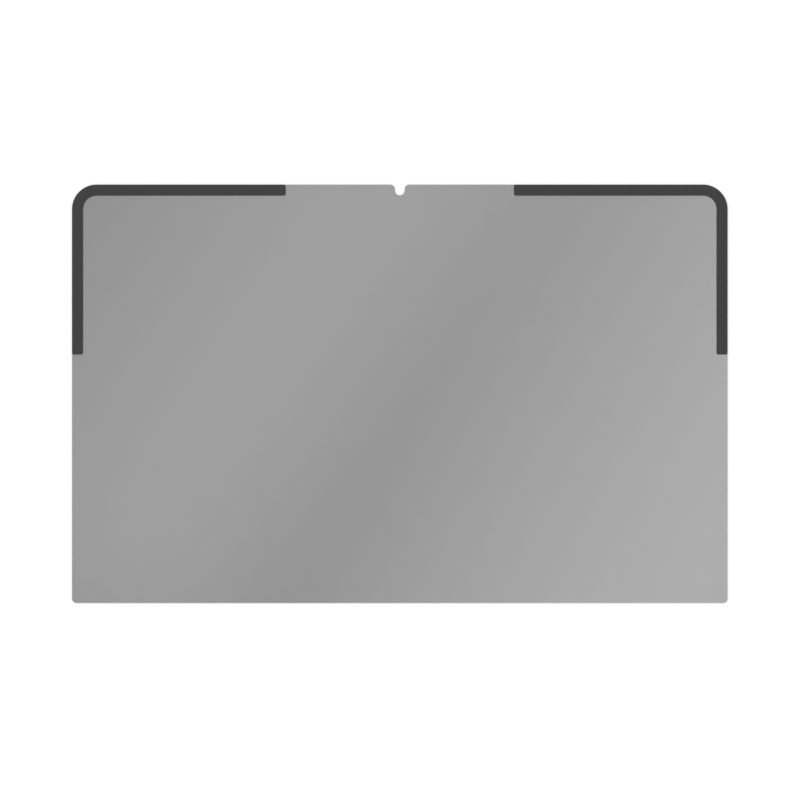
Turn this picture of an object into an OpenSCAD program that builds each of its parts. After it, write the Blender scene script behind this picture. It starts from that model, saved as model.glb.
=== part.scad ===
// Privacy filter for a laptop display: one laminated sheet that carries two L-shaped magnet
// strips round its top corners. It lies flat on its plain face, with the strips on top.
// Lengths are in millimetres. X runs along the width, Y towards the edge with the camera notch,
// and Z through the thickness. The origin is under the middle of the sheet.

/* [Filter sheet] */
// Width of the sheet between its side edges
sheet_w = 300; // [240:1:360]
// Height of the sheet from the lower edge to the top edge
sheet_h = 191.5; // [150:0.5:240]
// Thickness of the laminated sheet
sheet_t = 0.5; // [0.3:0.05:1]
// Radius of the two top corners, which the strips follow
top_corner_r = 11.25; // [8:0.25:16]
// Radius of the two lower corners
low_corner_r = 2; // [0.5:0.1:6]

/* [Camera notch] */
// Width of the notch between its straight walls
notch_w = 4.4; // [3:0.1:8]
// Length of the straight walls, from the shoulders to the round bottom
notch_wall = 0.6; // [0.2:0.1:4]
// Radius of the shoulders that blend the walls into the top edge
notch_shoulder_r = 2.1; // [0.5:0.1:4]

/* [Magnet strips] */
// Width of each strip
strip_w = 5.1; // [3:0.1:7]
// Thickness of each strip
strip_t = 0.4; // [0.25:0.05:0.8]
// Reach of the top arm along the top edge, from the sheet's side edge
top_arm = 97.8; // [60:0.1:110]
// Reach of the side arm down the side edge, from the sheet's top edge
side_arm = 77.8; // [40:0.1:140]
// Radius of the corners at the strips' free ends
strip_end_r = 0.9; // [0.3:0.1:1.4]
// Radius that softens the strips' upper edges
strip_edge_r = 0.12; // [0.05:0.01:0.2]

/* [Hidden] */
$fn = 96;

// Extra length of a cut past the edge that it opens
cut_overrun = 1;
notch_r = notch_w / 2;
notch_bottom = notch_shoulder_r + notch_wall;
top_centre = [sheet_w / 2 - top_corner_r, sheet_h / 2 - top_corner_r];
low_centre = [sheet_w / 2 - low_corner_r, sheet_h / 2 - low_corner_r];
strip_inner_r = top_corner_r - strip_w;
top_run = top_arm - top_corner_r - strip_end_r;
side_run = side_arm - top_corner_r - strip_end_r;

// A quarter of a disc, in the corner between +X and +Y
module quarter_disc(r) {
    intersection() {
        circle(r);
        square(r);
    }
}

// Two copies of a shape, one on each side of the middle line
module both_sides() {
    children();
    mirror([1, 0]) children();
}

// The sheet's outline before the notch is cut, with four true corner arcs
module rounded_sheet() {
    band_low = low_centre[1];
    band_high = top_centre[1];
    translate([-sheet_w / 2, -band_low]) square([sheet_w, band_low + band_high]);
    translate([-low_centre[0], -sheet_h / 2]) square([2 * low_centre[0], low_corner_r]);
    translate([-top_centre[0], band_high]) square([2 * top_centre[0], top_corner_r]);
    both_sides() {
        translate([top_centre[0], top_centre[1]]) quarter_disc(top_corner_r);
        translate([low_centre[0], -low_centre[1]]) mirror([0, 1]) quarter_disc(low_corner_r);
    }
}

// What the notch takes out of the top edge, whose line is at y = 0 here
module notch_cut() {
    translate([0, -notch_bottom]) circle(notch_r);
    translate([-notch_r, -notch_bottom]) square([notch_w, notch_bottom]);
    mouth_w = notch_w + 2 * notch_shoulder_r;
    translate([-mouth_w / 2, -notch_shoulder_r]) square([mouth_w, notch_shoulder_r + cut_overrun]);
}

// Outline of the sheet: the notch has a round bottom, straight walls and blended shoulders
module sheet_outline() {
    difference() {
        rounded_sheet();
        translate([0, sheet_h / 2]) notch_cut();
    }
    both_sides()
        translate([notch_r + notch_shoulder_r, sheet_h / 2 - notch_shoulder_r])
        mirror([1, 0])
        quarter_disc(notch_shoulder_r);
}

module filter_sheet() {
    color([0.62, 0.62, 0.62])
    linear_extrude(sheet_t) sheet_outline();
}

// Half of a strip's section, w wide from x = 0, with its far upper edge softened
module edge_section(w) {
    square([w - strip_edge_r, strip_t]);
    square([w, strip_t - strip_edge_r]);
    translate([w - strip_edge_r, strip_t - strip_edge_r]) quarter_disc(strip_edge_r);
}

// Section of a strip: x from 0 across its width, y up through its thickness
module strip_section() {
    translate([strip_w / 2, 0]) both_sides() edge_section(strip_w / 2);
}

// Free end of a strip, which runs on along +Y: two turned corners with a straight stretch between
module strip_end() {
    translate([strip_end_r, 0, 0])
        rotate([0, 0, 90])
        rotate_extrude(angle = 90) edge_section(strip_end_r);
    translate([strip_w - strip_end_r, 0, 0])
        rotate_extrude(angle = 90) edge_section(strip_end_r);
    translate([strip_end_r, 0, 0])
        rotate([90, 0, 90])
        linear_extrude(strip_w - 2 * strip_end_r) edge_section(strip_end_r);
}

// Straight arm of a strip along +Y, with its free end
module strip_arm(run) {
    translate([0, run, 0]) {
        rotate([90, 0, 0]) linear_extrude(run) strip_section();
        strip_end();
    }
}

// L-shaped strip on the right corner: its bend shares its centre with the sheet's corner arc,
// so that its outer edge lies flush with the sheet's own edge all the way round
module magnet_strip() {
    translate([top_centre[0], top_centre[1], sheet_t]) {
        rotate_extrude(angle = 90) translate([strip_inner_r, 0]) strip_section();
        translate([0, strip_inner_r, 0]) rotate([0, 0, 90]) strip_arm(top_run);
        translate([top_corner_r, 0, 0]) rotate([0, 0, 180]) strip_arm(side_run);
    }
}

module magnet_strip_right() {
    color([0.27, 0.27, 0.27])
    magnet_strip();
}

module magnet_strip_left() {
    color([0.27, 0.27, 0.27])
    mirror([1, 0, 0]) magnet_strip();
}

filter_sheet();
magnet_strip_left();
magnet_strip_right();
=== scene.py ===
# Privacy filter for a laptop display, lying on its plain face with its magnet strips on top.
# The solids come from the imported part. This file gives them their finishes, and adds the
# studio floor, the light and the camera. Lengths are in metres.

import math

import bpy
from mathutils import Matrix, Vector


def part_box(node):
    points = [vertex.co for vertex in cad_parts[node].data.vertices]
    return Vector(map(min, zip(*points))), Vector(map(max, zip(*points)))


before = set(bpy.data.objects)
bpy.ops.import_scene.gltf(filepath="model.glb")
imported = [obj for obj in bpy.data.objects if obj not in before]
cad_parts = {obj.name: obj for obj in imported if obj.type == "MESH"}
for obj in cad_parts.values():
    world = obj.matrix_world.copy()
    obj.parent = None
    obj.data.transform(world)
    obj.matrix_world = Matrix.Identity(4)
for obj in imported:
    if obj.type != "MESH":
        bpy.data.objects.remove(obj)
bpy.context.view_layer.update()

# Filter sheet: clear polyester film laminated on both sides of a louvre film, whose black slats
# are far too fine to see, and die-cut in one go. Head on it is a neutral smoke grey that shows
# what it lies on, and the more slanted the look, the darker it is. Its faces have a glossy coat.
see_through_share = 0.38
coat_ior = 1.58
coat_roughness = 0.11
streak_width = 0.0035
streak_length = 0.12
streak_detail = 2.0
streak_share = 0.014
ripple_size = 0.035
ripple_detail = 0.0
ripple_depth = 0.000012
clear_film_thickness = 0.0001
clear_edge_grey = 0.32
louvre_edge_grey = 0.03
edge_roughness = 0.55
flat_normal_limit = 0.5


def new_material(name):
    """A new material, its node tree with nothing in it but the output, and that output."""
    material = bpy.data.materials.new(name)
    material.use_nodes = True
    tree = material.node_tree
    tree.nodes.clear()
    return material, tree, tree.nodes.new("ShaderNodeOutputMaterial")


def put(tree, value, socket):
    """Gives an input socket its value, which is another node's output or a plain value."""
    if isinstance(value, bpy.types.NodeSocket):
        tree.links.new(value, socket)
    else:
        socket.default_value = value


def node(tree, kind, **inputs):
    """A new node with its inputs set, each named in small letters with _ for a space."""
    made = tree.nodes.new("ShaderNode" + kind)
    sockets = {s.name.lower().replace(" ", "_"): s for s in made.inputs if s.enabled}
    for name, value in inputs.items():
        put(tree, value, sockets[name])
    return made


def maths(tree, operation, *values):
    """What a Math node makes of its values."""
    made = tree.nodes.new("ShaderNodeMath")
    made.operation = operation
    for value, socket in zip(values, made.inputs):
        put(tree, value, socket)
    return made.outputs["Value"]


def mix(tree, share, first, second):
    """A mix of two shaders, with that share of the second."""
    made = tree.nodes.new("ShaderNodeMixShader")
    for value, socket in zip((share, first, second), made.inputs):
        put(tree, value, socket)
    return made.outputs["Shader"]


def noise(tree, place, size, detail):
    """Soft noise from 0 to 1, with features of that size along X, Y and Z."""
    stretched = node(tree, "Mapping", vector=place, scale=[1 / length for length in size])
    soft = node(tree, "TexNoise", vector=stretched.outputs["Vector"], scale=1.0, detail=detail)
    return soft.outputs["Fac"]


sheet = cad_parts["filter_sheet"]
sheet_low, sheet_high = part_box("filter_sheet")
sheet_thickness = sheet_high.z - sheet_low.z
film, tree, output = new_material("smoked_louvre_film")
coordinates = node(tree, "TexCoord")
place = coordinates.outputs["Object"]

# The smoke tints the light once, on the side that is looked at. A slanted look has a longer way
# through the film, so less of what lies under it comes through. Faint streaks run along the
# slats.
front = maths(tree, "SUBTRACT", 1.0, node(tree, "NewGeometry").outputs["Backfacing"])
slant = node(tree, "LayerWeight").outputs["Facing"]
way_through = maths(tree, "DIVIDE", front, maths(tree, "SUBTRACT", 1.0, slant))
smoked = maths(tree, "POWER", see_through_share, way_through)
streaks = noise(tree, place, (streak_width, streak_length, streak_length), streak_detail)
streaked = maths(tree, "MULTIPLY_ADD", streaks, -streak_share, 1.0)
clear = node(tree, "BsdfTransparent", color=maths(tree, "MULTIPLY", smoked, streaked))

# The coat has slow ripples, and mirrors only on the side that is looked at.
ripples = noise(tree, place, (ripple_size, ripple_size, ripple_size), ripple_detail)
rippled = node(tree, "Bump", height=ripples, strength=1.0, distance=ripple_depth)
coat = node(tree, "BsdfAnisotropic", color=(1, 1, 1, 1), roughness=coat_roughness)
put(tree, rippled.outputs["Normal"], coat.inputs["Normal"])
shine = maths(tree, "MULTIPLY", node(tree, "Fresnel", ior=coat_ior).outputs["Fac"], front)
faces = mix(tree, shine, clear.outputs["BSDF"], coat.outputs["BSDF"])

# The cut edge, whose normal lies flat, shows the dark louvre film between the two clear films.
normal = node(tree, "SeparateXYZ", vector=coordinates.outputs["Normal"])
upright = maths(tree, "ABSOLUTE", normal.outputs["Z"])
on_edge = maths(tree, "LESS_THAN", upright, flat_normal_limit)
split_place = node(tree, "SeparateXYZ", vector=place)
above_middle = maths(tree, "SUBTRACT", split_place.outputs["Z"], sheet_thickness / 2)
from_middle = maths(tree, "ABSOLUTE", above_middle)
louvre_half = sheet_thickness / 2 - clear_film_thickness
in_clear_film = maths(tree, "GREATER_THAN", from_middle, louvre_half)
paler = clear_edge_grey - louvre_edge_grey
edge_grey = maths(tree, "MULTIPLY_ADD", in_clear_film, paler, louvre_edge_grey)
edge = node(tree, "BsdfPrincipled", base_color=edge_grey, roughness=edge_roughness)
surface = mix(tree, on_edge, faces, edge.outputs["BSDF"])
put(tree, surface, output.inputs["Surface"])

sheet.material_slots[0].material = film

# Magnet strips: flexible magnet, a rubber filled with magnetic powder that is extruded as a thin
# band, cut to an L and bonded along the sheet's edge. It is matt charcoal, with a fine grain.
strip_grey = 0.0455
strip_mottle = 0.004
mottle_size = 0.012
mottle_detail = 2.0
strip_roughness = 0.62
strip_specular = 0.12
grain_size = 0.0003
grain_detail = 3.0
grain_depth = 0.00001

rubber, tree, output = new_material("flexible_magnet")
place = node(tree, "TexCoord").outputs["Object"]
mottle = noise(tree, place, (mottle_size, mottle_size, mottle_size), mottle_detail)
grey = maths(tree, "MULTIPLY_ADD", mottle, strip_mottle, strip_grey - strip_mottle / 2)
grain = noise(tree, place, (grain_size, grain_size, grain_size), grain_detail)
grained = node(tree, "Bump", height=grain, strength=1.0, distance=grain_depth)
band = node(tree, "BsdfPrincipled", base_color=grey, normal=grained.outputs["Normal"])
band.inputs["Roughness"].default_value = strip_roughness
band.inputs["Specular IOR Level"].default_value = strip_specular
put(tree, band.outputs["BSDF"], output.inputs["Surface"])

for side in ("left", "right"):
    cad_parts["magnet_strip_" + side].material_slots[0].material = rubber

# Studio floor: a wide sheet of white card just under the filter. To the camera and in gloss it
# shows as plain white where no shadow falls, and it lights the filter as matt card does.
floor_size = 20
floor_gap = 0.0002
card_share = 0.65
card_glow = 0.45


def seen_directly(tree):
    """1 for rays of the camera, of gloss and through clear things, and 0 for rays of light."""
    path = node(tree, "LightPath").outputs
    seen = maths(tree, "MAXIMUM", path["Is Camera Ray"], path["Is Glossy Ray"])
    return maths(tree, "MAXIMUM", seen, path["Is Transmission Ray"])


bpy.ops.object.select_all(action="DESELECT")
bpy.ops.mesh.primitive_plane_add(size=floor_size, location=(0, 0, -floor_gap))
floor = bpy.context.object
floor.name = "studio_floor"
card, tree, output = new_material("white_card")
matt = node(tree, "BsdfDiffuse", color=(card_share, card_share, card_share, 1))
glow = node(tree, "Emission", strength=maths(tree, "MULTIPLY", seen_directly(tree), card_glow))
both = tree.nodes.new("ShaderNodeAddShader")
put(tree, matt.outputs["BSDF"], both.inputs[0])
put(tree, glow.outputs["Emission"], both.inputs[1])
put(tree, both.outputs["Shader"], output.inputs["Surface"])
floor.data.materials.append(card)

# Studio light: an even white room with slanted light panels all round that show only in gloss,
# a broad key lamp from the upper left, and two long soft boxes above the camera, which give the
# sheet its two slanted bands of gloss when it is seen from straight above.
room_level = 0.7
panel_count = 40.0
panel_slant = 40.0
panel_level = 2.5
panel_top = 0.97
panel_fade = 0.12
key_level = 0.55
key_spread = math.radians(30)
key_height = math.radians(50)
key_turn = math.radians(135)
box_height = 2.6
rim_share = 0.2

world = bpy.data.worlds.new("studio_room")
bpy.context.scene.world = world
world.use_nodes = True
tree = world.node_tree
direction = node(tree, "SeparateXYZ", vector=node(tree, "TexCoord").outputs["Generated"]).outputs
bearing = maths(tree, "ARCTAN2", direction["Y"], direction["X"])
climb = maths(tree, "MULTIPLY", direction["Z"], panel_slant)
wave = maths(tree, "SINE", maths(tree, "MULTIPLY_ADD", bearing, panel_count, climb))
panels = maths(tree, "MULTIPLY_ADD", wave, panel_level / 2, panel_level / 2)

# The panels are brighter the higher they reach, and fade out before the ceiling.
fade_start = panel_top - panel_fade
fade = node(tree, "MapRange", value=direction["Z"], from_min=panel_top, from_max=fade_start)
by_height = maths(tree, "MULTIPLY", direction["Z"], fade.outputs["Result"])
in_gloss = maths(tree, "MULTIPLY", node(tree, "LightPath").outputs["Is Glossy Ray"], by_height)
level = maths(tree, "MULTIPLY_ADD", seen_directly(tree), 1 - room_level, room_level)
room = tree.nodes["Background"]
room.inputs["Color"].default_value = (1, 1, 1, 1)
put(tree, maths(tree, "MULTIPLY_ADD", panels, in_gloss, level), room.inputs["Strength"])

bpy.ops.object.light_add(type="SUN", rotation=(0, math.radians(90) - key_height, key_turn))
key = bpy.context.object
key.name = "key_lamp"
key.data.energy = key_level
key.data.angle = key_spread


def soft_box(name, turn, across, along, width, length, hot_share, brightness):
    """A lamp above the sheet, with its long side turned from X and its centre moved across and
    along that side. It is brightest on a line at a share of its width, and dims evenly from
    there, down to its rim."""
    x = across * math.sin(turn) + along * math.cos(turn)
    y = along * math.sin(turn) - across * math.cos(turn)
    bpy.ops.object.light_add(type="AREA", location=(x, y, box_height), rotation=(0, 0, turn))
    lamp = bpy.context.object
    lamp.name = name
    lamp.data.shape = "RECTANGLE"
    lamp.data.size = length
    lamp.data.size_y = width
    lamp.data.energy = brightness * math.pi * width * length
    lamp.data.use_nodes = True
    tree = lamp.data.node_tree
    face = node(tree, "SeparateXYZ", vector=node(tree, "NewGeometry").outputs["Parametric"])
    beyond_hot_line = maths(tree, "SUBTRACT", face.outputs["Y"], 1 - hot_share)
    from_hot_line = maths(tree, "ABSOLUTE", beyond_hot_line)
    dimming = (1 - rim_share) / max(hot_share, 1 - hot_share)
    shade = maths(tree, "MULTIPLY_ADD", from_hot_line, -dimming, 1.0)
    put(tree, shade, tree.nodes["Emission"].inputs["Strength"])


soft_box(
    "left_box",
    turn=math.radians(55),
    across=-0.203,
    along=0.36,
    width=0.39,
    length=1.48,
    hot_share=0.65,
    brightness=1.93,
)
soft_box(
    "right_box",
    turn=math.radians(59),
    across=0.244,
    along=0.36,
    width=0.41,
    length=1.54,
    hot_share=1.0,
    brightness=4.16,
)

# Camera: straight above the sheet, far enough away to show it as flat as the photograph does.
# The numbers in pixels are the sheet's place in the photograph.
photo_px = 800
sheet_width_px = 655.6
sheet_centre_px = (399.8, 393.8)
camera_distance = 2.0
sensor_width = 36.0

metres_per_px = (sheet_high.x - sheet_low.x) / sheet_width_px
camera_x = (photo_px / 2 - sheet_centre_px[0]) * metres_per_px
camera_y = (sheet_centre_px[1] - photo_px / 2) * metres_per_px
camera_z = sheet_high.z + camera_distance
bpy.ops.object.camera_add(location=(camera_x, camera_y, camera_z), rotation=(0, 0, 0))
camera = bpy.context.object
camera.name = "camera"
camera.data.sensor_width = sensor_width
camera.data.lens = sensor_width * camera_distance / (photo_px * metres_per_px)
bpy.context.scene.camera = camera
bpy.context.scene.view_settings.view_transform = "Standard"
